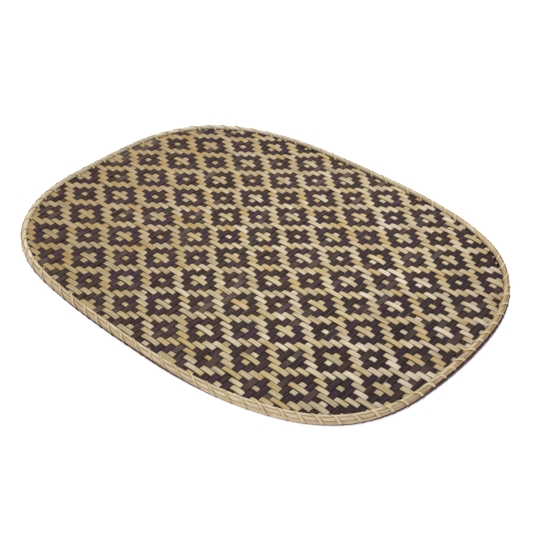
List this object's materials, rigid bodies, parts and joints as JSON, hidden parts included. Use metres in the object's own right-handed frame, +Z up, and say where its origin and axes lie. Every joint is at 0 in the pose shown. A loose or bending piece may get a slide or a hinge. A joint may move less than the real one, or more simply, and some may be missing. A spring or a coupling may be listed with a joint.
{
  "type": "bamboo placemat",
  "caption": "Flat woven bamboo placemat with rounded corners, plaited in a light and dark diamond twill, its edge held between bamboo splits bound with a slanted lashing.",
  "frame": {"origin": "centre of the mat's outline on the surface that it lies on", "axes": "+X along the mat's long side, +Y along its short side, +Z up from the surface"},
  "size_m": [0.422, 0.324, 0.0086],
  "materials": {
    "woven_bamboo": "dry plaited bamboo strips, some natural and some dyed dark brown",
    "rim_bamboo": "smooth natural bamboo split with lengthwise fibres",
    "dark_rim_bamboo": "dark brown bamboo split",
    "lashing_bamboo": "thin natural bamboo strip with a slight gloss"
  },
  "bodies": {
    "root": {"woven_panel": "woven_bamboo", "rim_upper_split": "rim_bamboo", "rim_lower_split": "dark_rim_bamboo", "lashing_01": "lashing_bamboo", "lashing_02": "lashing_bamboo", "lashing_03": "lashing_bamboo", "lashing_04": "lashing_bamboo", "lashing_05": "lashing_bamboo", "lashing_06": "lashing_bamboo", "lashing_07": "lashing_bamboo", "lashing_08": "lashing_bamboo", "lashing_09": "lashing_bamboo", "lashing_10": "lashing_bamboo", "lashing_11": "lashing_bamboo", "lashing_12": "lashing_bamboo", "lashing_13": "lashing_bamboo", "lashing_14": "lashing_bamboo", "lashing_15": "lashing_bamboo", "lashing_16": "lashing_bamboo", "lashing_17": "lashing_bamboo", "lashing_18": "lashing_bamboo", "lashing_19": "lashing_bamboo", "lashing_20": "lashing_bamboo", "lashing_21": "lashing_bamboo"}
  },
  "joints": []
}
